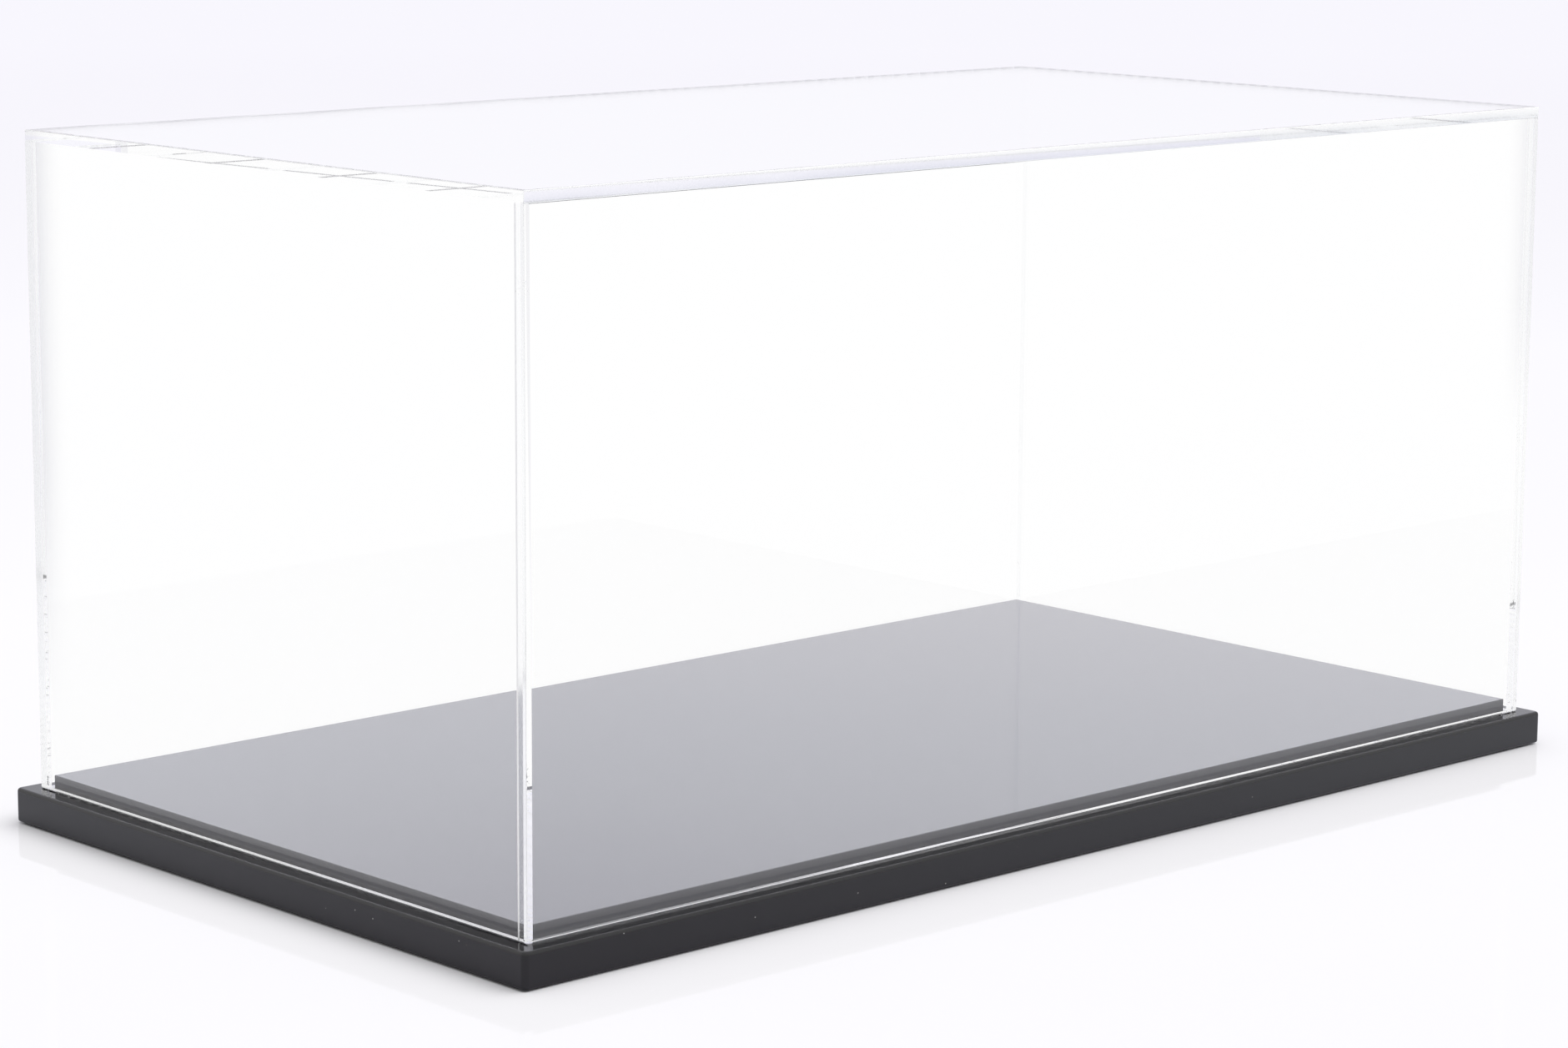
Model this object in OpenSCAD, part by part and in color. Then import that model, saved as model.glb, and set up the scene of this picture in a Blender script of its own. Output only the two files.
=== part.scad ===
// Display case for a large model truck.
// A black lacquered board carries a raised gloss platform. The clear cover drops over the
// platform, stands on the ledge left around it and lifts straight off.
// Frame: origin on the table under the middle of the board, +X to the right along the
// length, +Y to the back, +Z up. All sizes are in millimetres.

/* [Base board] */
// Length of the board, left to right
board_l = 500; // [300:1:900]
// Width of the board, front to back
board_w = 280; // [160:1:500]
// Thickness of the board
board_t = 12; // [8:0.5:30]
// Radius of the board's upright corners
board_corner_r = 2; // [1.6:0.1:6]
// Radius of the rounding along the board's top edges
board_top_r = 1.2; // [0.3:0.1:1.5]
// Radius of the rounding along the board's bottom edges
board_foot_r = 0.8; // [0.3:0.1:1.5]

/* [Cover] */
// Ledge of board left outside the cover on every side
ledge_w = 6.5; // [4:0.5:30]
// Thickness of the clear sheet that all five panels are cut from
sheet_t = 4; // [2:0.5:8]
// Height of the cover, from the ledge to its top
cover_h = 230; // [60:1:400]
// Chamfer scraped along the cover's free edges
cover_arris = 0.2; // [0.1:0.1:0.9]
// Chamfer scraped along the cover's foot, outside and inside its mouth
foot_arris = 0.5; // [0.1:0.1:0.9]

/* [Platform] */
// Thickness of the raised platform
platform_t = 5; // [2:0.5:20]
// Gap between the platform and the cover's walls on every side
platform_gap = 0.7; // [0.3:0.1:3]
// Chamfer scraped along the platform's edges
platform_arris = 0.3; // [0.1:0.1:0.9]

/* [Pads] */
// Diameter of each pad under the board
pad_d = 14; // [6:1:30]
// Thickness of each pad
pad_t = 0.6; // [0.4:0.1:4]
// Distance from the board's edges to each pad's centre
pad_inset = 22; // [19:1:60]

/* [Hidden] */
$fn = 48;

// Which way each side lies from the middle
LEFT = -1;
RIGHT = 1;
FRONT = -1;
BACK = 1;

// Heights above the table of the faces that pieces stand on
board_z = pad_t;
ledge_z = board_z + board_t;

// Outside of the cover, set in from the board's edges
cover_l = board_l - 2 * ledge_w;
cover_w = board_w - 2 * ledge_w;
wall_h = cover_h - sheet_t;

// Space between the walls, and the platform that fills it but for a gap
inside_l = cover_l - 2 * sheet_t;
inside_w = cover_w - 2 * sheet_t;
platform_l = inside_l - 2 * platform_gap;
platform_w = inside_w - 2 * platform_gap;

black_lacquer = [0.05, 0.05, 0.055];
black_gloss = [0.1, 0.1, 0.11];
clear_acrylic = [0.85, 0.92, 0.95, 0.3];
pad_grey = [0.2, 0.2, 0.2];

// Upright outline of a slab of this width, its corners rolled over above and below
module slab_outline(w, t, top_r, foot_r) {
    translate([-w / 2, foot_r])
        square([w, t - top_r - foot_r]);
    translate([foot_r - w / 2, 0])
        square([w - 2 * foot_r, foot_r]);
    translate([top_r - w / 2, t - top_r])
        square([w - 2 * top_r, top_r]);
    for (side = [-1, 1]) {
        translate([side * (w / 2 - foot_r), foot_r])
            circle(foot_r);
        translate([side * (w / 2 - top_r), t - top_r])
            circle(top_r);
    }
}

// Rectangle with its corners cut off at 45 degrees, about its centre
module chamfered_rect(l, w, c) {
    a = l / 2;
    b = w / 2;
    polygon([
        [c - a, -b], [a - c, -b], [a, c - b], [a, b - c],
        [a - c, b], [c - a, b], [-a, b - c], [-a, c - b],
    ]);
}

// Slab with round upright corners and its top and bottom edges rolled over:
// a bar along each way and a round post in every corner
module soft_slab(l, w, t, corner_r, top_r, foot_r) {
    rotate([90, 0, 90])
        linear_extrude(l - 2 * corner_r, center = true)
            slab_outline(w, t, top_r, foot_r);
    rotate([90, 0, 0])
        linear_extrude(w - 2 * corner_r, center = true)
            slab_outline(l, t, top_r, foot_r);
    for (sx = [-1, 1], sy = [-1, 1])
        translate([sx * (l / 2 - corner_r), sy * (w / 2 - corner_r), 0])
            rotate_extrude()
                intersection() {
                    slab_outline(2 * corner_r, t, top_r, foot_r);
                    square([corner_r, t]);
                }
}

// Upright rectangle standing on the floor, its upper and lower corners cut off at 45 degrees
module chamfered_side(w, h, c, foot_c) {
    half = w / 2;
    polygon([
        [foot_c - half, 0], [half - foot_c, 0], [half, foot_c], [half, h - c],
        [half - c, h], [c - half, h], [-half, h - c], [-half, foot_c],
    ]);
}

// Block standing on the floor with its edges scraped to a chamfer, and its foot to another
module scraped_block(l, w, h, c, foot_c) {
    intersection() {
        linear_extrude(h)
            chamfered_rect(l, w, c);
        rotate([90, 0, 90])
            linear_extrude(l, center = true)
                chamfered_side(w, h, c, foot_c);
        rotate([90, 0, 0])
            linear_extrude(w, center = true)
                chamfered_side(l, h, c, foot_c);
    }
}

// One long flared groove under the cover, which leads its mouth on to the platform
module mouth_flare(length, mouth_w, c) {
    half = mouth_w / 2;
    rotate([90, 0, 90])
        linear_extrude(length, center = true)
            polygon([[-half - c, 0], [half + c, 0], [half, c], [-half, c]]);
}

// Cut a panel's plain sheet, given by its size and the middle of its foot, to the shape
// that the cemented cover is scraped to
module cover_panel(size, foot) {
    color(clear_acrylic)
        difference() {
            intersection() {
                translate([0, 0, ledge_z])
                    scraped_block(cover_l, cover_w, cover_h, cover_arris, foot_arris);
                translate([foot.x, foot.y, foot.z + size.z / 2])
                    cube(size, center = true);
            }
            translate([0, 0, ledge_z])
                intersection() {
                    mouth_flare(cover_l, inside_w, foot_arris);
                    rotate([0, 0, 90])
                        mouth_flare(cover_w, inside_l, foot_arris);
                }
        }
}

// Front and back walls run the whole length and cover the ends of the side walls
module long_wall(side) {
    cover_panel([cover_l, sheet_t, wall_h], [0, side * (cover_w - sheet_t) / 2, ledge_z]);
}

// Left and right walls stand between the front and back walls
module end_wall(side) {
    cover_panel([sheet_t, inside_w, wall_h], [side * (cover_l - sheet_t) / 2, 0, ledge_z]);
}

// Round pad stuck under one corner of the board
module corner_pad(side_x, side_y) {
    color(pad_grey)
        translate([side_x * (board_l / 2 - pad_inset), side_y * (board_w / 2 - pad_inset), 0])
            cylinder(d = pad_d, h = pad_t);
}

module base_board() {
    color(black_lacquer)
        translate([0, 0, board_z])
            soft_slab(board_l, board_w, board_t, board_corner_r, board_top_r, board_foot_r);
}

module display_platform() {
    color(black_gloss)
        translate([0, 0, ledge_z])
            scraped_block(platform_l, platform_w, platform_t, platform_arris, platform_arris);
}

module front_panel() {
    long_wall(FRONT);
}

module back_panel() {
    long_wall(BACK);
}

module left_panel() {
    end_wall(LEFT);
}

module right_panel() {
    end_wall(RIGHT);
}

// The top lies over all four walls
module top_panel() {
    cover_panel([cover_l, cover_w, sheet_t], [0, 0, ledge_z + wall_h]);
}

module front_left_pad() {
    corner_pad(LEFT, FRONT);
}

module front_right_pad() {
    corner_pad(RIGHT, FRONT);
}

module back_left_pad() {
    corner_pad(LEFT, BACK);
}

module back_right_pad() {
    corner_pad(RIGHT, BACK);
}

base_board();
display_platform();
front_panel();
back_panel();
left_panel();
right_panel();
top_panel();
front_left_pad();
front_right_pad();
back_left_pad();
back_right_pad();
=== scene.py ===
"""Display case for a large model truck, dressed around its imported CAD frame.

A black lacquered board carries a raised gloss platform, and a cemented cover of clear sheet
drops over it. Run as a script, the file models each piece in place and sets the studio.
"""

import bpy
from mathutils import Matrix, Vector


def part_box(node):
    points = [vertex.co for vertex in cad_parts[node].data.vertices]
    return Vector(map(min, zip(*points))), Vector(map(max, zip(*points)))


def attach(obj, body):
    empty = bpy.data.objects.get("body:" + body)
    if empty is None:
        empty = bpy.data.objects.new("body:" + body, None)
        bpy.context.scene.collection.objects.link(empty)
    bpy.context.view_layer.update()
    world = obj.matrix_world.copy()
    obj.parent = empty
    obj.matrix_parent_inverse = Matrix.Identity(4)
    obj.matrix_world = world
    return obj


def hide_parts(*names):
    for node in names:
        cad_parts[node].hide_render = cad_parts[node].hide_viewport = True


bl_info = {
    "name": "Model Truck Display Case",
    "version": (1, 0, 0),
    "blender": (4, 5, 0),
    "location": "View3D > Sidebar > Display Case",
    "description": "Models a clear-covered display case around its packed CAD frame",
    "category": "Add Mesh",
}

import math

import bmesh
import bpy
from bpy.props import FloatProperty, FloatVectorProperty, PointerProperty
from mathutils import Euler, Matrix, Vector

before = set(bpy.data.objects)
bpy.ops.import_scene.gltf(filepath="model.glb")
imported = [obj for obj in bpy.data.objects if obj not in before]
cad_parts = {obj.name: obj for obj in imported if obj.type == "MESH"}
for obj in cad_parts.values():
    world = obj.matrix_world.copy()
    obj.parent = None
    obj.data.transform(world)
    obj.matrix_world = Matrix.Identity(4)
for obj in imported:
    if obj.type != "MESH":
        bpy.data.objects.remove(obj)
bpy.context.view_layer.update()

MM = 0.001
# Points closer than this count as touching
TOUCH = 0.02 * MM
BASE = "base"
COVER = "cover"

# A face looks along an axis where its normal's share of that axis is over SQUARE_ON, and leans
# towards it where the share is over SLANTED
SQUARE_ON = 0.9
SLANTED = 0.5
# Faces that meet at less than this many degrees are shaded as one round
SMOOTH_BELOW = 40.0

PURE_WHITE = (1.0, 1.0, 1.0, 1.0)
ACRYLIC_IOR = 1.49
# The photo's walls mirror the platform more weakly than bare acrylic does, by about this share
WALL_MIRROR = 0.35
# Length of sheet beside a joint that is tinted grey, a painted shade
SHADE_REACH = 18.0 * MM

# Paths of light that run along inside a sheet turn at its faces every few millimetres, so they
# need this many turns to come out at the far edge
LIGHT_TURNS = 160

# The photo's camera, found from the case's corners: place in metres, angles in degrees, lens and
# sensor in mm
CAMERA_PLACE = (-1.0341, -1.0979, 0.3682)
CAMERA_LENS = 97.25
CAMERA_YAW = 42.897
CAMERA_PITCH = 10.245
CAMERA_ROLL = 0.346
SENSOR_WIDTH = 36.0
# Side of the floor in metres
FLOOR_SIZE = 60.0
# The broad light hangs overhead, a little to the front right, and spreads over this many degrees
SOFT_BOX_SIDE = (0.3, -0.3, 0.9)
SOFT_BOX_SPREAD = 80.0


def linear(hex_colour):
    """Turn an sRGB hex colour into linear red, green and blue."""
    shares = [int(hex_colour[i:i + 2], 16) / 255 for i in (1, 3, 5)]
    return [s / 12.92 if s <= 0.04045 else ((s + 0.055) / 1.055) ** 2.4 for s in shares]


def rgba(colour):
    """Add full opacity to a linear colour, as shader sockets want it."""
    return (*colour[:3], 1.0)


class CaseSizes(bpy.types.PropertyGroup):
    """Sizes of the rounding, scraping and joints."""

    board_corner: FloatProperty(
        name="Board corner radius",
        description="Radius of the board's upright corners",
        default=2.0 * MM,
        min=1.6 * MM,
        max=6.0 * MM,
        unit="LENGTH",
    )
    board_top_edge: FloatProperty(
        name="Board top edge radius",
        description="Radius of the rounding along the board's top edges",
        default=1.2 * MM,
        min=0.3 * MM,
        max=1.5 * MM,
        unit="LENGTH",
    )
    board_foot_edge: FloatProperty(
        name="Board bottom edge radius",
        description="Radius of the rounding along the board's bottom edges",
        default=0.8 * MM,
        min=0.3 * MM,
        max=1.5 * MM,
        unit="LENGTH",
    )
    platform_arris: FloatProperty(
        name="Platform arris",
        description="Width of the scraped arris on the platform's edges",
        default=0.3 * MM,
        min=0.1 * MM,
        max=0.9 * MM,
        unit="LENGTH",
    )
    cover_arris: FloatProperty(
        name="Cover arris",
        description="Width of the scraped arris on the cover's free edges",
        default=0.2 * MM,
        min=0.1 * MM,
        max=0.9 * MM,
        unit="LENGTH",
    )
    foot_arris: FloatProperty(
        name="Foot arris",
        description="Width of the scraped arris on the cover's foot, outside and inside",
        default=0.5 * MM,
        min=0.1 * MM,
        max=0.9 * MM,
        unit="LENGTH",
    )
    corner_groove: FloatProperty(
        name="Corner groove",
        description="Width of the groove down the joint between two cemented walls",
        default=0.5 * MM,
        min=0.02 * MM,
        max=0.8 * MM,
        unit="LENGTH",
    )
    top_groove: FloatProperty(
        name="Top groove",
        description="Width of the fine groove where the top is cemented on to the walls",
        default=0.12 * MM,
        min=0.02 * MM,
        max=0.4 * MM,
        unit="LENGTH",
    )
    foot_air: FloatProperty(
        name="Air under the cover",
        description="Film of air between the cover's foot and the board",
        default=0.05 * MM,
        min=0.01 * MM,
        max=0.2 * MM,
        unit="LENGTH",
    )
    pad_round: FloatProperty(
        name="Pad edge radius",
        description="Radius of the rounding on the pads' lower rims",
        default=0.25 * MM,
        min=0.05 * MM,
        max=0.3 * MM,
        unit="LENGTH",
    )


class CaseColours(bpy.types.PropertyGroup):
    """Colours of the pieces and the studio."""

    lacquer: FloatVectorProperty(
        name="Board lacquer",
        description="Colour of the lacquer on the board",
        default=linear("#131215"),
        min=0.0,
        max=1.0,
        subtype="COLOR",
    )
    platform: FloatVectorProperty(
        name="Platform sheet",
        description="Colour of the gloss sheet that the model stands on",
        default=linear("#19191C"),
        min=0.0,
        max=1.0,
        subtype="COLOR",
    )
    platform_edge: FloatVectorProperty(
        name="Platform edge",
        description="Grey of the platform's sawn edge",
        default=linear("#66666B"),
        min=0.0,
        max=1.0,
        subtype="COLOR",
    )
    acrylic: FloatVectorProperty(
        name="Clear sheet",
        description="Faint tint of the cover's clear sheet",
        default=linear("#FFFFFF"),
        min=0.0,
        max=1.0,
        subtype="COLOR",
    )
    # Painted shade: the grey tint of the clear sheet beside the back left and front right joints
    joint_shade: FloatVectorProperty(
        name="Fogged sheet",
        description="Tint of the clear sheet where solvent vapour has fogged it",
        default=linear("#E6E6EA"),
        min=0.0,
        max=1.0,
        subtype="COLOR",
    )
    edge: FloatVectorProperty(
        name="Polished edge",
        description="Tint of the cover's polished edges",
        default=linear("#FBFCFD"),
        min=0.0,
        max=1.0,
        subtype="COLOR",
    )
    # Painted shade: the grey that the top's front edge is painted towards the joint
    shaded_top_edge: FloatVectorProperty(
        name="Dull edge",
        description="Tint of the top's front edge beside the joint",
        default=linear("#D8DBE4"),
        min=0.0,
        max=1.0,
        subtype="COLOR",
    )
    dust: FloatVectorProperty(
        name="Dust",
        description="Colour of the dust specks on the black surfaces",
        default=linear("#B9B8B4"),
        min=0.0,
        max=1.0,
        subtype="COLOR",
    )
    pad: FloatVectorProperty(
        name="Pad",
        description="Colour of the pads under the board",
        default=linear("#2B2B2C"),
        min=0.0,
        max=1.0,
        subtype="COLOR",
    )
    floor: FloatVectorProperty(
        name="Floor",
        description="Colour of the studio floor",
        default=linear("#FCFBFE"),
        min=0.0,
        max=1.0,
        subtype="COLOR",
    )
    far_floor: FloatVectorProperty(
        name="Far floor",
        description="Colour of the studio floor far behind the case",
        default=linear("#F4F2F9"),
        min=0.0,
        max=1.0,
        subtype="COLOR",
    )
    # Painted shade: the darker floor colour that black gloss mirrors at the front corner
    painted_shade_floor: FloatVectorProperty(
        name="Mirrored floor",
        description="Colour of the floor at the front corner, as the black board mirrors it",
        default=linear("#D0CDD8"),
        min=0.0,
        max=1.0,
        subtype="COLOR",
    )
    background: FloatVectorProperty(
        name="Background",
        description="Colour of the studio just above the floor, and overhead",
        default=linear("#F8F7FE"),
        min=0.0,
        max=1.0,
        subtype="COLOR",
    )
    middle: FloatVectorProperty(
        name="Middle background",
        description="Colour of the studio a little higher up",
        default=linear("#F5F6FF"),
        min=0.0,
        max=1.0,
        subtype="COLOR",
    )
    upper: FloatVectorProperty(
        name="Upper background",
        description="Colour of the studio higher up still",
        default=linear("#E2E1EE"),
        min=0.0,
        max=1.0,
        subtype="COLOR",
    )


class StudioLight(bpy.types.PropertyGroup):
    """Levels of the studio light."""

    ambient: FloatProperty(
        name="Ambient",
        description="Share of the light that comes evenly from all sides",
        default=0.5,
        min=0.0,
        max=1.0,
        subtype="FACTOR",
    )
    soft_box: FloatProperty(
        name="Soft box",
        description="Irradiance of the broad light overhead, in watts per square metre",
        default=1.85,
        min=0.0,
        max=5.0,
    )


def node(tree, kind, values=None, links=None, **settings):
    """Add a shader node, set its properties and input values, and link its inputs."""
    made = tree.nodes.new("ShaderNode" + kind)
    for name, value in settings.items():
        setattr(made, name, value)
    for name, value in (values or {}).items():
        made.inputs[name].default_value = value
    for name, source in (links or {}).items():
        tree.links.new(source, made.inputs[name])
    return made


def blank_material(name):
    """Make a material with an empty node tree, and return it with the tree."""
    material = bpy.data.materials.new(name)
    material.use_nodes = True
    material.node_tree.nodes.clear()
    return material, material.node_tree


def per_mm(size_mm):
    """Texture scale, in turns for each metre, of a pattern that repeats at this size in mm."""
    return 1.0 / (size_mm * MM)


def dust_mask(tree, place, cell_mm, speck_mm):
    """Add scattered round specks of up to this radius, about one in each cell of this size."""
    cells = node(tree, "TexVoronoi", {"Scale": per_mm(cell_mm)}, {"Vector": place})
    chance = node(tree, "SeparateColor", links={"Color": cells.outputs["Color"]})
    radius = node(
        tree,
        "Math",
        {1: speck_mm / cell_mm},
        {0: chance.outputs["Red"]},
        operation="MULTIPLY",
    )
    speck = node(
        tree,
        "Math",
        links={0: cells.outputs["Distance"], 1: radius.outputs[0]},
        operation="LESS_THAN",
    )
    return speck.outputs[0]


def black_satin_lacquer(colours):
    """Fibreboard sprayed with black satin lacquer.

    The eye sees a soft sheen that loses sharpness in a faint orange peel, with a little cloudiness
    and a few dust specks.
    """
    material, tree = blank_material("black_satin_lacquer_sprayed")
    place = node(tree, "TexCoord").outputs["Object"]
    # Orange peel of sprayed lacquer repeats at about 1 mm
    peel = node(tree, "TexNoise", {"Scale": per_mm(1.1), "Detail": 2.0}, {"Vector": place})
    bump = node(
        tree,
        "Bump",
        {"Strength": 0.2, "Distance": 0.006 * MM},
        {"Height": peel.outputs[0]},
    )
    cloud = node(tree, "TexNoise", {"Scale": per_mm(38.0), "Detail": 3.0}, {"Vector": place})
    sheen = node(
        tree,
        "MapRange",
        {"From Min": 0.3, "From Max": 0.7, "To Min": 0.13, "To Max": 0.19},
        {"Value": cloud.outputs[0]},
    )
    dust = dust_mask(tree, place, cell_mm=5.0, speck_mm=0.2)
    colour = node(
        tree,
        "Mix",
        {"A": rgba(colours.lacquer), "B": rgba(colours.dust)},
        {"Factor": dust},
        data_type="RGBA",
    )
    shader = node(
        tree,
        "BsdfPrincipled",
        {"IOR": 1.5},
        {
            "Base Color": colour.outputs["Result"],
            "Roughness": sheen.outputs[0],
            "Normal": bump.outputs[0],
        },
    )
    node(tree, "OutputMaterial", links={"Surface": shader.outputs[0]})
    return material


def black_gloss_sheet(colours):
    """Black acrylic sheet with the polished face of the casting glass, waxed over.

    The eye sees a near mirror at a low angle, blurred a little by wiping streaks and dust.
    """
    material, tree = blank_material("black_gloss_acrylic_polished")
    place = node(tree, "TexCoord").outputs["Object"]
    # Wiping streaks are about 3 mm wide and run along the length
    wiping = node(tree, "Mapping", {"Scale": (0.06, 1.0, 1.0)}, {"Vector": place})
    streak = node(
        tree,
        "TexNoise",
        {"Scale": per_mm(3.0), "Detail": 3.0},
        {"Vector": wiping.outputs[0]},
    )
    blur = node(
        tree,
        "MapRange",
        {"From Min": 0.3, "From Max": 0.75, "To Min": 0.05, "To Max": 0.1},
        {"Value": streak.outputs[0]},
    )
    dust = dust_mask(tree, place, cell_mm=6.0, speck_mm=0.18)
    colour = node(
        tree,
        "Mix",
        {"A": rgba(colours.platform), "B": rgba(colours.dust)},
        {"Factor": dust},
        data_type="RGBA",
    )
    shader = node(
        tree,
        "BsdfPrincipled",
        {"IOR": ACRYLIC_IOR, "Coat Weight": 1.0, "Coat Roughness": 0.04, "Coat IOR": 1.6},
        {"Base Color": colour.outputs["Result"], "Roughness": blur.outputs[0]},
    )
    node(tree, "OutputMaterial", links={"Surface": shader.outputs[0]})
    return material


def black_sheet_edge(colours):
    """Sawn edge of the black sheet, scraped but not polished.

    The eye sees a satin dark grey band with fine upright saw marks.
    """
    material, tree = blank_material("black_acrylic_edge_sawn")
    place = node(tree, "TexCoord").outputs["Object"]
    # Saw marks are about 0.7 mm apart and as high as the sheet is thick
    upright = node(tree, "Mapping", {"Scale": (1.0, 1.0, 0.05)}, {"Vector": place})
    marks = node(
        tree,
        "TexNoise",
        {"Scale": per_mm(0.7), "Detail": 2.0},
        {"Vector": upright.outputs[0]},
    )
    sheen = node(
        tree,
        "MapRange",
        {"From Min": 0.3, "From Max": 0.7, "To Min": 0.22, "To Max": 0.26},
        {"Value": marks.outputs[0]},
    )
    shader = node(
        tree,
        "BsdfPrincipled",
        {"Base Color": rgba(colours.platform_edge), "IOR": ACRYLIC_IOR},
        {"Roughness": sheen.outputs[0]},
    )
    node(tree, "OutputMaterial", links={"Surface": shader.outputs[0]})
    return material


def clear_for_lamps(tree, shader):
    """Let light from lamps, and light that only brightens other surfaces, pass the sheet straight."""
    path = node(tree, "LightPath")
    straight = node(tree, "BsdfTransparent")
    for ray in ("Is Diffuse Ray", "Is Shadow Ray"):
        shader = node(
            tree,
            "MixShader",
            links={
                0: path.outputs[ray],
                1: shader.outputs[0],
                2: straight.outputs[0],
            },
        )
    node(tree, "OutputMaterial", links={"Surface": shader.outputs[0]})


def painted_joint_shade(tree, place):
    """Add the share of grey tint, a painted shade, beside the back left and front right joints.

    It is thicker higher up.
    """
    across = node(tree, "SeparateXYZ", links={"Vector": place})
    joint_shades = []
    # The painted shade begins at the height clear_mm and is full at full_mm
    for along, beside, joint, sheet, clear_mm, full_mm in (
        ("Y", "X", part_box("left_panel")[1].y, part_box("left_panel")[1].x, 40.0, 130.0),
        ("X", "Y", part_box("right_panel")[1].x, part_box("front_panel")[1].y, 120.0, 170.0),
    ):
        near_joint = node(
            tree,
            "MapRange",
            {"From Min": joint - SHADE_REACH, "From Max": joint},
            {"Value": across.outputs[along]},
        )
        height = node(
            tree,
            "MapRange",
            {"From Min": clear_mm * MM, "From Max": full_mm * MM},
            {"Value": across.outputs["Z"]},
        )
        on_sheet = node(
            tree,
            "Math",
            {1: sheet + TOUCH},
            {0: across.outputs[beside]},
            operation="LESS_THAN",
        )
        # Nearness counts twice, so that the painted shade fades out softly
        joint_shade = near_joint
        for share in (near_joint, height, on_sheet):
            joint_shade = node(
                tree,
                "Math",
                links={0: joint_shade.outputs[0], 1: share.outputs[0]},
                operation="MULTIPLY",
            )
        joint_shades.append(joint_shade.outputs[0])
    share = node(tree, "Math", links={0: joint_shades[0], 1: joint_shades[1]}, operation="MAXIMUM")
    return share.outputs[0]


def clear_cast_acrylic(colours):
    """Clear acrylic sheet, cast between glass plates.

    The eye sees through it without colour, except for a grey tint along two joints, a painted shade.
    """
    material, tree = blank_material("clear_acrylic_cast")
    place = node(tree, "TexCoord").outputs["Object"]
    # The sheet is tinted grey beside two joints, a painted shade
    tint = node(
        tree,
        "Mix",
        {"A": rgba(colours.acrylic), "B": rgba(colours.joint_shade)},
        {"Factor": painted_joint_shade(tree, place)},
        data_type="RGBA",
    )
    shader = node(
        tree,
        "BsdfPrincipled",
        {
            "Roughness": 0.0,
            "IOR": ACRYLIC_IOR,
            "Transmission Weight": 1.0,
            "Specular Tint": (WALL_MIRROR, WALL_MIRROR, WALL_MIRROR, 1.0),
        },
        {"Base Color": tint.outputs["Result"]},
    )
    clear_for_lamps(tree, shader)
    return material


def polished_acrylic_edge(colours):
    """Sawn edge of the clear sheet, scraped flat and flame polished.

    The eye sees a bright clear line, a little lighter and darker by turns, and grey beside two joints,
    a painted shade.
    """
    material, tree = blank_material("clear_acrylic_edge_polished")
    place = node(tree, "TexCoord").outputs["Object"]
    # The flame left its trace in lengths of about 15 mm
    trace = node(tree, "TexNoise", {"Scale": per_mm(15.0), "Detail": 1.0}, {"Vector": place})
    bare = node(
        tree,
        "Mix",
        {"A": rgba(colours.edge), "B": rgba(colours.acrylic)},
        {"Factor": trace.outputs[0]},
        data_type="RGBA",
    )
    # The edge is tinted grey beside two joints, a painted shade
    tint = node(
        tree,
        "Mix",
        {"B": rgba(colours.joint_shade)},
        {"Factor": painted_joint_shade(tree, place), "A": bare.outputs["Result"]},
        data_type="RGBA",
    )
    shader = node(
        tree,
        "BsdfPrincipled",
        {"Roughness": 0.12, "IOR": ACRYLIC_IOR, "Transmission Weight": 1.0},
        {"Base Color": tint.outputs["Result"]},
    )
    clear_for_lamps(tree, shader)
    return material


def top_edge(colours):
    """Front edge of the top, polished.

    The eye sees a clear line that is painted grey towards the joint, a painted shade, more so in some
    places.
    """
    material, tree = blank_material("clear_acrylic_top_edge_shaded")
    place = node(tree, "TexCoord").outputs["Object"]
    low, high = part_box("top_panel")
    height = node(tree, "SeparateXYZ", links={"Vector": place})
    depth = node(
        tree,
        "MapRange",
        {"From Min": high.z, "From Max": low.z},
        {"Value": height.outputs["Z"]},
    )
    # The painted shade varies in lengths of about 60 mm
    stroke = node(tree, "TexNoise", {"Scale": per_mm(60.0), "Detail": 1.0}, {"Vector": place})
    uneven = node(
        tree,
        "MapRange",
        {"From Min": 0.3, "From Max": 0.7, "To Min": 0.6, "To Max": 1.4},
        {"Value": stroke.outputs[0]},
    )
    shade_share = node(
        tree,
        "Math",
        links={0: depth.outputs[0], 1: uneven.outputs[0]},
        operation="MULTIPLY",
        use_clamp=True,
    )
    # The edge is painted grey towards the joint, a painted shade
    tint = node(
        tree,
        "Mix",
        {"A": rgba(colours.acrylic), "B": rgba(colours.shaded_top_edge)},
        {"Factor": shade_share.outputs[0]},
        data_type="RGBA",
    )
    shader = node(
        tree,
        "BsdfPrincipled",
        {"Roughness": 0.05, "IOR": ACRYLIC_IOR, "Transmission Weight": 1.0},
        {"Base Color": tint.outputs["Result"]},
    )
    clear_for_lamps(tree, shader)
    return material


def scraped_acrylic(name, colours, clearness, roughness):
    """Narrow face of the clear sheet that was scraped.

    The eye sees a thin pale line, white where the scraper pressed hard.
    """
    material, tree = blank_material(name)
    place = node(tree, "TexCoord").outputs["Object"]
    # The scraper was set down again every 20 mm or so
    stroke = node(tree, "TexNoise", {"Scale": per_mm(20.0), "Detail": 2.0}, {"Vector": place})
    colour = node(
        tree,
        "Mix",
        {"A": rgba(colours.edge), "B": rgba(colours.acrylic)},
        {"Factor": stroke.outputs[0]},
        data_type="RGBA",
    )
    shader = node(
        tree,
        "BsdfPrincipled",
        {"Roughness": roughness, "IOR": ACRYLIC_IOR, "Transmission Weight": clearness},
        {"Base Color": colour.outputs["Result"]},
    )
    clear_for_lamps(tree, shader)
    return material


def satin_acrylic(colours):
    """Arris at the foot that was scraped lightly."""
    return scraped_acrylic("clear_acrylic_scraped_satin", colours, clearness=1.0, roughness=0.22)


def white_acrylic(colours):
    """Arris or joint that was scraped hard."""
    return scraped_acrylic("clear_acrylic_scraped_white", colours, clearness=0.0, roughness=0.45)


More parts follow.
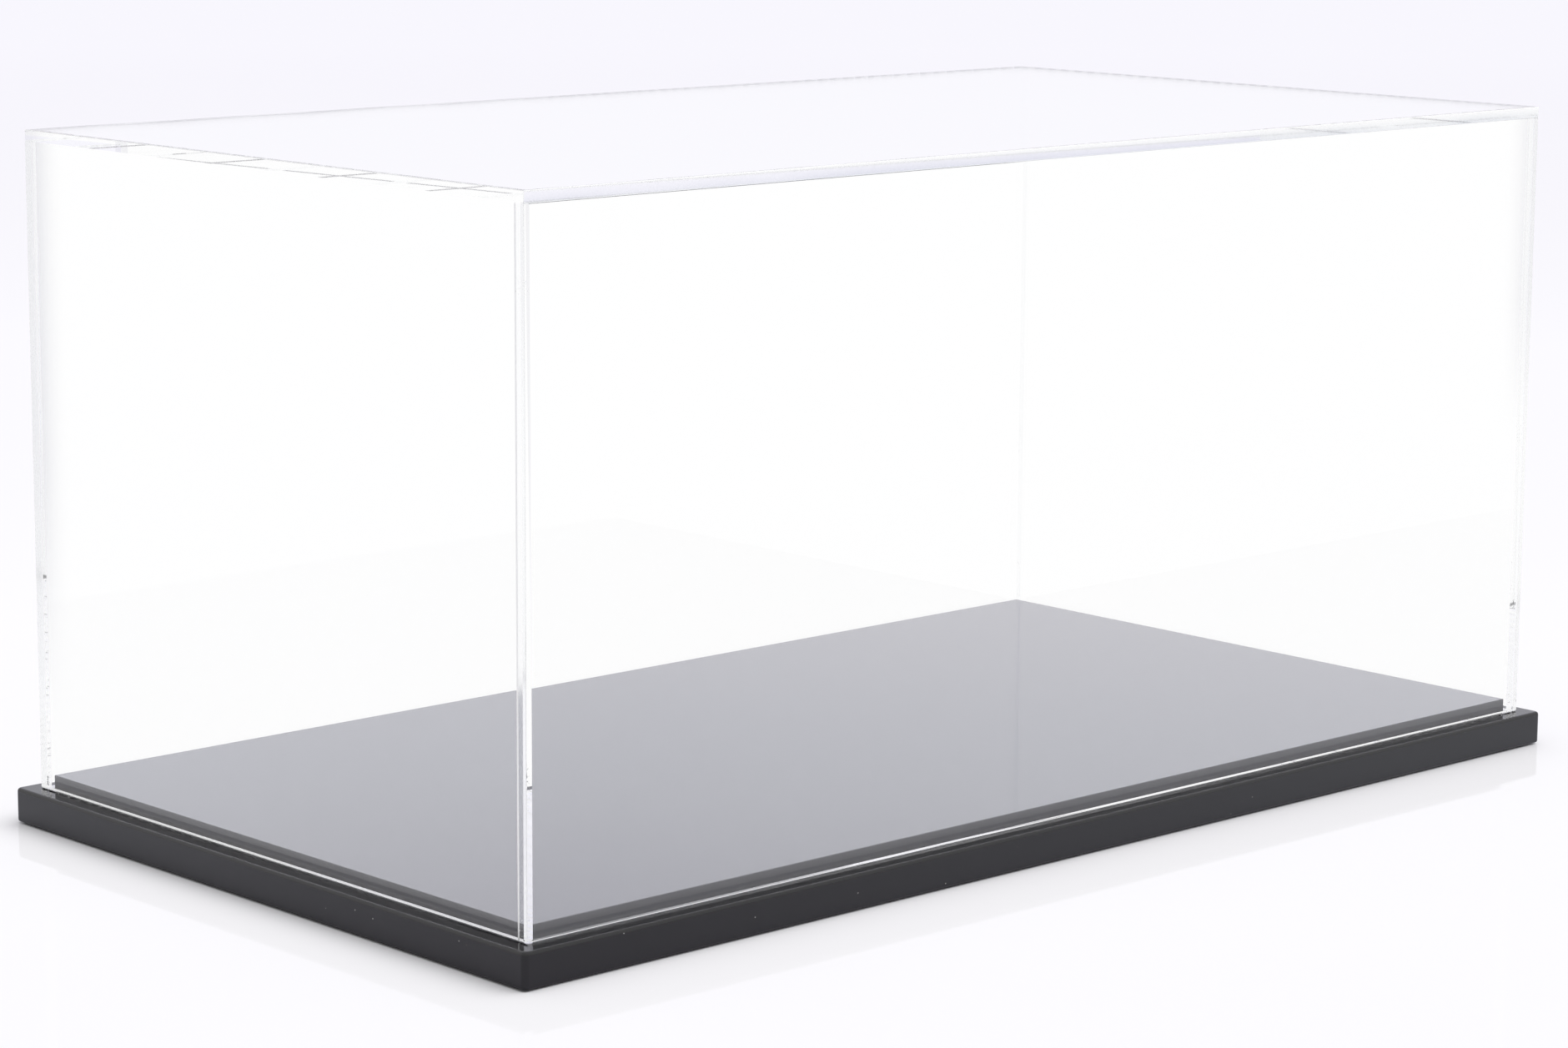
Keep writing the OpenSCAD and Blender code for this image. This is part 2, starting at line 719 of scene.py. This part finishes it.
def cement_seam(colours):
    """Joint where solvent cement has fused two sheets.

    The eye sees through it, except for small trapped bubbles.
    """
    material, tree = blank_material("acrylic_cement_seam")
    place = node(tree, "TexCoord").outputs["Object"]
    bubbles = dust_mask(tree, place, cell_mm=0.8, speck_mm=0.3)
    # Bubbles gather at the cover's foot, and in a few patches some 25 mm apart elsewhere
    height = node(tree, "SeparateXYZ", links={"Vector": place})
    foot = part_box("front_panel")[0].z
    at_foot = node(
        tree,
        "MapRange",
        {"From Min": foot + 12.0 * MM, "From Max": foot + 2.0 * MM},
        {"Value": height.outputs["Z"]},
    )
    patch = node(tree, "TexNoise", {"Scale": per_mm(25.0), "Detail": 1.0}, {"Vector": place})
    in_patch = node(
        tree,
        "MapRange",
        {"From Min": 0.7, "From Max": 0.74},
        {"Value": patch.outputs[0]},
    )
    where = node(
        tree,
        "Math",
        links={0: at_foot.outputs[0], 1: in_patch.outputs[0]},
        operation="MAXIMUM",
    )
    trapped = node(
        tree,
        "Math",
        links={0: bubbles, 1: where.outputs[0]},
        operation="MULTIPLY",
    )
    fused = node(tree, "BsdfTransparent")
    bubble = node(
        tree,
        "BsdfPrincipled",
        {"Base Color": rgba(colours.edge), "Roughness": 0.25, "IOR": ACRYLIC_IOR},
    )
    shader = node(
        tree,
        "MixShader",
        links={0: trapped.outputs[0], 1: fused.outputs[0], 2: bubble.outputs[0]},
    )
    clear_for_lamps(tree, shader)
    return material


def black_foam_pad(colours):
    """Self-adhesive pad die-cut from dense black foam.

    The eye sees a dead matt black with open cells.
    """
    material, tree = blank_material("black_foam_die_cut")
    place = node(tree, "TexCoord").outputs["Object"]
    # Foam cells are about 0.35 mm across
    cells = node(tree, "TexVoronoi", {"Scale": per_mm(0.35)}, {"Vector": place})
    bump = node(
        tree,
        "Bump",
        {"Strength": 0.6, "Distance": 0.05 * MM},
        {"Height": cells.outputs["Distance"]},
    )
    # The cells are painted darker towards their middles, where their pits lie, a painted shade
    tone = node(
        tree,
        "MapRange",
        {"From Min": 0.0, "From Max": 0.8, "To Min": 0.75, "To Max": 1.0},
        {"Value": cells.outputs["Distance"]},
    )
    colour = node(
        tree,
        "Mix",
        {"A": (0.0, 0.0, 0.0, 1.0), "B": rgba(colours.pad)},
        {"Factor": tone.outputs[0]},
        data_type="RGBA",
    )
    shader = node(
        tree,
        "BsdfPrincipled",
        {"IOR": 1.45, "Roughness": 0.92},
        {"Base Color": colour.outputs["Result"], "Normal": bump.outputs[0]},
    )
    node(tree, "OutputMaterial", links={"Surface": shader.outputs[0]})
    return material


def white_gloss_floor(colours):
    """White laminate studio table.

    The eye sees white, a little cooler far off, with a faint mirror image of what stands on it.
    Where black gloss mirrors it, it is painted darker at the front corner, a painted shade, and through
    the clear cover it glows plain white, a painted glow.
    """
    material, tree = blank_material("white_laminate_gloss")
    place = node(tree, "TexCoord").outputs["Object"]
    path = node(tree, "LightPath")
    # The floor turns cooler between these distances from the middle, in metres
    reach = node(tree, "VectorMath", links={0: place}, operation="LENGTH")
    far = node(
        tree,
        "MapRange",
        {"From Min": 0.5, "From Max": 3.5},
        {"Value": reach.outputs["Value"]},
    )
    lit = node(
        tree,
        "Mix",
        {"A": rgba(colours.floor), "B": rgba(colours.far_floor)},
        {"Factor": far.outputs[0]},
        data_type="RGBA",
    )
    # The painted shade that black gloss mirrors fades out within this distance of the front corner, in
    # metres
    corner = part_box("base_board")[0]
    from_corner = node(
        tree,
        "VectorMath",
        {1: (corner.x, corner.y, 0.0)},
        {0: place},
        operation="DISTANCE",
    )
    beside = node(
        tree,
        "MapRange",
        {"From Min": 0.0, "From Max": 0.45},
        {"Value": from_corner.outputs["Value"]},
    )
    mirrored = node(
        tree,
        "Mix",
        {"A": rgba(colours.painted_shade_floor), "B": rgba(colours.middle)},
        {"Factor": beside.outputs[0]},
        data_type="RGBA",
    )
    colour = node(
        tree,
        "Mix",
        links={
            "Factor": path.outputs["Is Glossy Ray"],
            "A": lit.outputs["Result"],
            "B": mirrored.outputs["Result"],
        },
        data_type="RGBA",
    )
    shader = node(
        tree,
        "BsdfPrincipled",
        {"Roughness": 0.05, "IOR": 1.11},
        {"Base Color": colour.outputs["Result"]},
    )
    # Seen through the clear cover the floor glows plain white, a painted glow that hides its shadow and
    # mirror image
    painted_glow = node(tree, "Emission", {"Color": PURE_WHITE, "Strength": 1.0})
    seen = node(
        tree,
        "MixShader",
        links={
            0: path.outputs["Is Transmission Ray"],
            1: shader.outputs[0],
            2: painted_glow.outputs[0],
        },
    )
    # From below there is no table, so that the case's underside shows
    below = node(tree, "NewGeometry").outputs["Backfacing"]
    gone = node(tree, "BsdfTransparent")
    one_sided = node(
        tree,
        "MixShader",
        links={0: below, 1: seen.outputs[0], 2: gone.outputs[0]},
    )
    node(tree, "OutputMaterial", links={"Surface": one_sided.outputs[0]})
    return material


def new_block(name, low, high):
    """Add a cube that fills the box from low to high, with its place in its mesh."""
    bpy.ops.object.select_all(action="DESELECT")
    bpy.ops.mesh.primitive_cube_add(size=1.0, location=(low + high) / 2, scale=high - low)
    piece = bpy.context.active_object
    piece.name = name
    piece.data.name = name
    bpy.ops.object.transform_apply(location=True, rotation=True, scale=True)
    return piece


def select_edges(piece, rule):
    """In edit mode, select only those edges of the piece that the rule holds for."""
    bpy.ops.mesh.select_mode(type="EDGE")
    bpy.ops.mesh.select_all(action="DESELECT")
    mesh = bmesh.from_edit_mesh(piece.data)
    found = [edge for edge in mesh.edges if rule(edge)]
    if not found:
        raise RuntimeError(f"{piece.name} has no edge of the kind to be shaped")
    for edge in found:
        edge.select_set(True)
    bmesh.update_edit_mesh(piece.data)


def round_edges(piece, rule, width, steps):
    """In edit mode, round off the edges that the rule holds for."""
    select_edges(piece, rule)
    bpy.ops.mesh.bevel(
        offset_type="OFFSET",
        offset=width,
        segments=steps,
        profile=0.5,
        affect="EDGES",
        clamp_overlap=False,
    )


def cut_across(place, direction):
    """In edit mode, cut all the piece's faces along a plane without parting them."""
    bpy.ops.mesh.select_all(action="SELECT")
    bpy.ops.mesh.bisect(plane_co=place, plane_no=direction)


def both_ends(edge, axis, value):
    """True if the edge lies in the plane where this axis has this value."""
    return all(abs(end.co[axis] - value) < TOUCH for end in edge.verts)


def is_upright(edge):
    """True if the edge stands up from the floor."""
    return abs(edge.verts[0].co.z - edge.verts[1].co.z) > TOUCH


def faces_along(edge, direction):
    """True if one of the edge's faces looks along this direction."""
    return any(face.normal.dot(direction) > SQUARE_ON for face in edge.link_faces)


def soften(piece):
    """Shade the piece's round edges smoothly and keep its flat faces flat."""
    bpy.ops.object.shade_smooth_by_angle(angle=math.radians(SMOOTH_BELOW))
    weighted = piece.modifiers.new("flat_faces_lead", "WEIGHTED_NORMAL")
    weighted.keep_sharp = True
    bpy.ops.object.modifier_apply(modifier=weighted.name)


def half_turned_copy(piece, name):
    """Copy the piece to the other side of the case, as a half turn about the middle."""
    bpy.ops.object.select_all(action="DESELECT")
    piece.select_set(True)
    bpy.context.view_layer.objects.active = piece
    bpy.ops.object.duplicate(linked=False)
    copy = bpy.context.active_object
    copy.name = name
    copy.data.name = name
    bpy.ops.transform.rotate(value=math.pi, orient_axis="Z", center_override=(0.0, 0.0, 0.0))
    bpy.ops.object.transform_apply(location=True, rotation=True, scale=True)
    return copy


def finish_faces(piece, finishes, rule):
    """Give the piece its finishes, and each face the one whose place in the list the rule names."""
    for finish in finishes:
        piece.data.materials.append(finish)
    for face in piece.data.polygons:
        face.material_index = rule(face.center, face.normal)


def hand_over(piece, body, node_name):
    """Let the piece stand for its CAD node and move with its body."""
    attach(piece, body)
    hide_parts(node_name)


# Places of the finishes in a cover panel's list
CLEAR, POLISHED, TOP_EDGE, SATIN, WHITE, SEAM = range(6)
# Places of the axes in a point
X, Y, Z = range(3)
FORWARD = Vector((0.0, -1.0, 0.0))
BACKWARD = Vector((0.0, 1.0, 0.0))
LEFTWARD = Vector((-1.0, 0.0, 0.0))
RIGHTWARD = Vector((1.0, 0.0, 0.0))
SIDEWAYS = (FORWARD, BACKWARD, LEFTWARD, RIGHTWARD)


def cover_finishes(colours):
    """The cover's finishes, in the order of their places, made once and shared by its panels."""
    makers = {
        "clear_acrylic_cast": clear_cast_acrylic,
        "clear_acrylic_edge_polished": polished_acrylic_edge,
        "clear_acrylic_top_edge_shaded": top_edge,
        "clear_acrylic_scraped_satin": satin_acrylic,
        "clear_acrylic_scraped_white": white_acrylic,
        "acrylic_cement_seam": cement_seam,
    }
    return [bpy.data.materials.get(name) or make(colours) for name, make in makers.items()]


class CASE_OT_board(bpy.types.Operator):
    """Model the lacquered base board"""

    bl_idname = "case.board"
    bl_label = "Base Board"

    def execute(self, context):
        sizes = context.scene.case_sizes
        low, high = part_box("base_board")
        board = new_block("board_lacquered", low, high)
        bpy.ops.object.mode_set(mode="EDIT")
        round_edges(board, is_upright, sizes.board_corner, steps=8)
        round_edges(board, lambda edge: both_ends(edge, Z, high.z), sizes.board_top_edge, steps=5)
        round_edges(board, lambda edge: both_ends(edge, Z, low.z), sizes.board_foot_edge, steps=4)
        bpy.ops.object.mode_set(mode="OBJECT")
        soften(board)
        board.data.materials.append(black_satin_lacquer(context.scene.case_colours))
        hand_over(board, BASE, "base_board")
        return {"FINISHED"}


class CASE_OT_platform(bpy.types.Operator):
    """Model the raised gloss platform"""

    bl_idname = "case.platform"
    bl_label = "Display Platform"

    def execute(self, context):
        sizes = context.scene.case_sizes
        platform = new_block("platform_gloss", *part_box("display_platform"))
        bpy.ops.object.mode_set(mode="EDIT")
        round_edges(platform, lambda edge: True, sizes.platform_arris, steps=3)
        bpy.ops.object.mode_set(mode="OBJECT")
        soften(platform)
        colours = context.scene.case_colours
        finish_faces(
            platform,
            [black_gloss_sheet(colours), black_sheet_edge(colours)],
            lambda centre, normal: 0 if abs(normal.z) > SQUARE_ON else 1,
        )
        hand_over(platform, BASE, "display_platform")
        return {"FINISHED"}


class CASE_OT_long_walls(bpy.types.Operator):
    """Model the front wall and copy it to the back"""

    bl_idname = "case.long_walls"
    bl_label = "Front and Back Walls"

    def execute(self, context):
        sizes = context.scene.case_sizes
        low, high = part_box("front_panel")
        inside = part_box("left_panel")[1].x
        low.z += sizes.foot_air
        wall = new_block("wall_front", low, high)
        bpy.ops.object.mode_set(mode="EDIT")
        for x in (inside, -inside):
            cut_across((x, 0.0, 0.0), RIGHTWARD)

        def free_corner(edge):
            return both_ends(edge, Y, low.y) and (
                both_ends(edge, X, low.x) or both_ends(edge, X, high.x)
            )

        def foot_edge(edge):
            middle = sum(end.co.x for end in edge.verts) / 2
            mouth = both_ends(edge, Y, high.y) and abs(middle) < abs(inside) - TOUCH
            return (
                both_ends(edge, Z, low.z)
                and not all(face.normal.z < -SQUARE_ON for face in edge.link_faces)
                and (mouth or not both_ends(edge, Y, high.y))
            )

        round_edges(wall, free_corner, sizes.cover_arris, steps=2)
        round_edges(wall, foot_edge, sizes.foot_arris, steps=1)

        def joint_edge(edge):
            return both_ends(edge, Z, high.z) and faces_along(edge, FORWARD)

        round_edges(wall, joint_edge, sizes.top_groove, steps=1)
        bpy.ops.object.mode_set(mode="OBJECT")

        def finish_of(centre, normal):
            glued_strip = normal.y > SQUARE_ON and abs(centre.x) > abs(inside) + TOUCH
            if normal.z > SQUARE_ON or glued_strip:
                return SEAM
            if abs(normal.y) > SQUARE_ON or normal.z < -SLANTED:
                return CLEAR
            return POLISHED

        finish_faces(wall, cover_finishes(context.scene.case_colours), finish_of)
        back = half_turned_copy(wall, "wall_back")
        hand_over(wall, COVER, "front_panel")
        hand_over(back, COVER, "back_panel")
        return {"FINISHED"}


class CASE_OT_end_walls(bpy.types.Operator):
    """Model the left wall and copy it to the right"""

    bl_idname = "case.end_walls"
    bl_label = "Left and Right Walls"

    def execute(self, context):
        sizes = context.scene.case_sizes
        low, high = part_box("left_panel")
        low.z += sizes.foot_air
        wall = new_block("wall_left", low, high)
        bpy.ops.object.mode_set(mode="EDIT")

        def foot_edge(edge):
            return both_ends(edge, Z, low.z) and (
                both_ends(edge, X, low.x) or both_ends(edge, X, high.x)
            )

        round_edges(wall, foot_edge, sizes.foot_arris, steps=1)

        def corner_joint(edge):
            return (
                is_upright(edge)
                and both_ends(edge, X, low.x)
                and (both_ends(edge, Y, low.y) or both_ends(edge, Y, high.y))
            )

        round_edges(wall, corner_joint, sizes.corner_groove, steps=1)
        bpy.ops.object.mode_set(mode="OBJECT")
        right = half_turned_copy(wall, "wall_right")

        def finish_of(centre, normal):
            if normal.z > SQUARE_ON or abs(normal.y) > SQUARE_ON:
                return SEAM
            # The groove of the front left joint
            if normal.x < -SLANTED and normal.y < -SLANTED:
                return WHITE
            # The inner arris of the left wall's foot
            if normal.z < -SLANTED and normal.x > SLANTED and centre.x < 0.0:
                return SATIN
            if abs(normal.x) > SQUARE_ON or normal.z < -SQUARE_ON:
                return CLEAR
            return POLISHED

        for piece in (wall, right):
            finish_faces(piece, cover_finishes(context.scene.case_colours), finish_of)
        hand_over(wall, COVER, "left_panel")
        hand_over(right, COVER, "right_panel")
        return {"FINISHED"}


class CASE_OT_top(bpy.types.Operator):
    """Model the clear top that lies over the four walls"""

    bl_idname = "case.top"
    bl_label = "Top"

    def execute(self, context):
        sizes = context.scene.case_sizes
        low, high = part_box("top_panel")
        inside_x = abs(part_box("left_panel")[1].x)
        inside_y = abs(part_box("front_panel")[1].y)
        top = new_block("top_sheet", low, high)
        bpy.ops.object.mode_set(mode="EDIT")
        for side in (-1, 1):
            cut_across((side * inside_x, 0.0, 0.0), RIGHTWARD)
            cut_across((0.0, side * inside_y, 0.0), BACKWARD)

        def free_edge(edge):
            ways = sum(faces_along(edge, way) for way in SIDEWAYS)
            if is_upright(edge):
                return ways == 2
            return both_ends(edge, Z, high.z) and ways > 0

        round_edges(top, free_edge, sizes.cover_arris, steps=1)

        def joint_edge(edge):
            return both_ends(edge, Z, low.z) and (
                faces_along(edge, FORWARD) or faces_along(edge, BACKWARD)
            )

        round_edges(top, joint_edge, sizes.top_groove, steps=1)
        bpy.ops.object.mode_set(mode="OBJECT")

        def finish_of(centre, normal):
            over_walls = abs(centre.x) > inside_x or abs(centre.y) > inside_y
            if normal.z < -SQUARE_ON and over_walls:
                return SEAM
            if abs(normal.z) > SQUARE_ON:
                return CLEAR
            if normal.z > SLANTED:
                return WHITE
            return TOP_EDGE if normal.y < -SLANTED else CLEAR

        finish_faces(top, cover_finishes(context.scene.case_colours), finish_of)
        hand_over(top, COVER, "top_panel")
        return {"FINISHED"}


class CASE_OT_pads(bpy.types.Operator):
    """Model one pad and copy it under the board's other corners"""

    bl_idname = "case.pads"
    bl_label = "Pads"

    def execute(self, context):
        sizes = context.scene.case_sizes
        low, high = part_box("front_left_pad")
        centre = (low + high) / 2
        bpy.ops.object.select_all(action="DESELECT")
        bpy.ops.mesh.primitive_cylinder_add(
            vertices=64,
            radius=(high.x - low.x) / 2,
            depth=high.z - low.z,
            location=centre,
        )
        first = bpy.context.active_object
        bpy.ops.object.transform_apply(location=True, rotation=True, scale=True)
        bpy.ops.object.mode_set(mode="EDIT")
        round_edges(first, lambda edge: both_ends(edge, Z, low.z), sizes.pad_round, steps=3)
        bpy.ops.object.mode_set(mode="OBJECT")
        soften(first)
        first.data.materials.append(black_foam_pad(context.scene.case_colours))
        pads = {"front_left": first}
        for corner in ("front_right", "back_left", "back_right"):
            other_low, other_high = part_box(corner + "_pad")
            bpy.ops.object.select_all(action="DESELECT")
            first.select_set(True)
            context.view_layer.objects.active = first
            bpy.ops.object.duplicate(linked=False)
            bpy.ops.transform.translate(value=(other_low + other_high) / 2 - centre)
            bpy.ops.object.transform_apply(location=True, rotation=True, scale=True)
            pads[corner] = bpy.context.active_object
        # The pads are handed over last, so that the copies start out free
        for corner, pad in pads.items():
            pad.name = "pad_" + corner
            pad.data.name = pad.name
            hand_over(pad, BASE, corner + "_pad")
        return {"FINISHED"}


class CASE_OT_stage(bpy.types.Operator):
    """Set the studio: floor, background, soft light and the photo's camera"""

    bl_idname = "case.stage"
    bl_label = "Studio"

    def execute(self, context):
        scene = context.scene
        bpy.ops.object.select_all(action="DESELECT")
        bpy.ops.mesh.primitive_plane_add(size=FLOOR_SIZE, location=(0.0, 0.0, 0.0))
        floor = bpy.context.active_object
        floor.name = "studio_floor"
        floor.data.materials.append(white_gloss_floor(scene.case_colours))
        self.light(scene)
        self.camera(scene)
        scene.view_settings.view_transform = "Standard"
        scene.cycles.max_bounces = LIGHT_TURNS
        scene.cycles.glossy_bounces = LIGHT_TURNS
        scene.cycles.transmission_bounces = LIGHT_TURNS
        scene.cycles.transparent_max_bounces = LIGHT_TURNS
        return {"FINISHED"}

    def light(self, scene):
        """Hang the backdrop, even light from all sides and the broad light overhead."""
        world = bpy.data.worlds.new("white_studio")
        scene.world = world
        world.use_nodes = True
        tree = world.node_tree
        tree.nodes.clear()
        path = node(tree, "LightPath")
        way = node(tree, "TexCoord").outputs["Generated"]
        # Where it is seen, the studio is a little darker on the camera's side, but not overhead
        yaw = math.radians(CAMERA_YAW)
        facing = node(
            tree,
            "VectorMath",
            {1: (math.sin(yaw), math.cos(yaw), 0.0)},
            {0: way},
            operation="DOT_PRODUCT",
        )
        mirrored = node(
            tree,
            "MapRange",
            {"From Min": -0.75, "From Max": -0.1, "To Min": 0.85, "To Max": 1.0},
            {"Value": facing.outputs["Value"]},
            interpolation_type="SMOOTHSTEP",
        )
        either = node(
            tree,
            "Math",
            links={0: path.outputs["Is Camera Ray"], 1: path.outputs["Is Glossy Ray"]},
            operation="MAXIMUM",
        )
        seen = either.outputs[0]
        height = node(tree, "SeparateXYZ", links={"Vector": way})
        overhead = node(
            tree,
            "MapRange",
            {"From Min": 0.3, "From Max": 0.5},
            {"Value": height.outputs["Z"]},
        )
        bright = node(
            tree,
            "Math",
            links={0: mirrored.outputs[0], 1: overhead.outputs[0]},
            operation="MAXIMUM",
        )
        strength = node(
            tree,
            "Mix",
            {"A": scene.studio_light.ambient},
            {"Factor": seen, "B": bright.outputs[0]},
        )
        # Upwards, the backdrop turns cooler, then darker, and pale again overhead
        colours = scene.case_colours
        backdrop = node(tree, "ValToRGB", links={0: height.outputs["Z"]})
        stops = backdrop.color_ramp.elements
        for stop in stops:
            stop.color = rgba(colours.background)
        for level, colour in (
            (0.19, colours.background),
            (0.23, colours.middle),
            (0.24, colours.middle),
            (0.3, colours.upper),
            (0.36, colours.upper),
            (0.5, colours.background),
        ):
            stops.new(level).color = rgba(colour)
        tone = backdrop.outputs["Color"]
        # The studio's sides are white, and so is the light that only brightens surfaces
        behind = node(
            tree,
            "MapRange",
            {"From Min": 0.3, "From Max": 0.8},
            {"Value": facing.outputs["Value"]},
        )
        for share in (behind.outputs[0], seen):
            mixed = node(
                tree,
                "Mix",
                {"A": PURE_WHITE},
                {"Factor": share, "B": tone},
                data_type="RGBA",
            )
            tone = mixed.outputs["Result"]
        shine = node(
            tree,
            "Background",
            links={"Color": tone, "Strength": strength.outputs["Result"]},
        )
        node(tree, "OutputWorld", links={"Surface": shine.outputs[0]})
        lamp = bpy.data.lights.new("soft_box", "SUN")
        lamp.energy = scene.studio_light.soft_box
        lamp.angle = math.radians(SOFT_BOX_SPREAD)
        soft_box = bpy.data.objects.new("soft_box", lamp)
        soft_box.rotation_euler = Vector(SOFT_BOX_SIDE).to_track_quat("Z", "Y").to_euler()
        soft_box.visible_glossy = False
        soft_box.visible_transmission = False
        scene.collection.objects.link(soft_box)

    def camera(self, scene):
        """Set the camera at the photo's viewpoint."""
        camera = bpy.data.objects.new("photo_camera", bpy.data.cameras.new("photo_camera"))
        camera.data.lens = CAMERA_LENS
        camera.data.sensor_width = SENSOR_WIDTH
        aim = Euler((math.radians(90.0 - CAMERA_PITCH), 0.0, math.radians(-CAMERA_YAW)))
        turn = aim.to_matrix() @ Matrix.Rotation(math.radians(CAMERA_ROLL), 3, "Z")
        camera.location = CAMERA_PLACE
        camera.rotation_euler = turn.to_euler()
        scene.collection.objects.link(camera)
        scene.camera = camera


class CASE_PT_sidebar(bpy.types.Panel):
    """Lists the case's pieces and settings in the sidebar"""

    bl_idname = "CASE_PT_sidebar"
    bl_label = "Display Case"
    bl_space_type = "VIEW_3D"
    bl_region_type = "UI"
    bl_category = "Display Case"

    def draw(self, context):
        for operator in OPERATORS:
            self.layout.operator(operator.bl_idname)
        for group in (context.scene.case_sizes, context.scene.case_colours, context.scene.studio_light):
            for name in group.bl_rna.properties.keys():
                if name not in ("rna_type", "name"):
                    self.layout.prop(group, name)


OPERATORS = (
    CASE_OT_board,
    CASE_OT_platform,
    CASE_OT_long_walls,
    CASE_OT_end_walls,
    CASE_OT_top,
    CASE_OT_pads,
    CASE_OT_stage,
)
CLASSES = (CaseSizes, CaseColours, StudioLight, *OPERATORS, CASE_PT_sidebar)


def register():
    for kind in CLASSES:
        bpy.utils.register_class(kind)
    bpy.types.Scene.case_sizes = PointerProperty(type=CaseSizes)
    bpy.types.Scene.case_colours = PointerProperty(type=CaseColours)
    bpy.types.Scene.studio_light = PointerProperty(type=StudioLight)


def unregister():
    del bpy.types.Scene.studio_light
    del bpy.types.Scene.case_colours
    del bpy.types.Scene.case_sizes
    for kind in reversed(CLASSES):
        bpy.utils.unregister_class(kind)


def main():
    """Model every piece in order."""
    register()
    bpy.ops.case.board()
    bpy.ops.case.platform()
    bpy.ops.case.long_walls()
    bpy.ops.case.end_walls()
    bpy.ops.case.top()
    bpy.ops.case.pads()
    bpy.ops.case.stage()


if __name__ == "__main__":
    main()
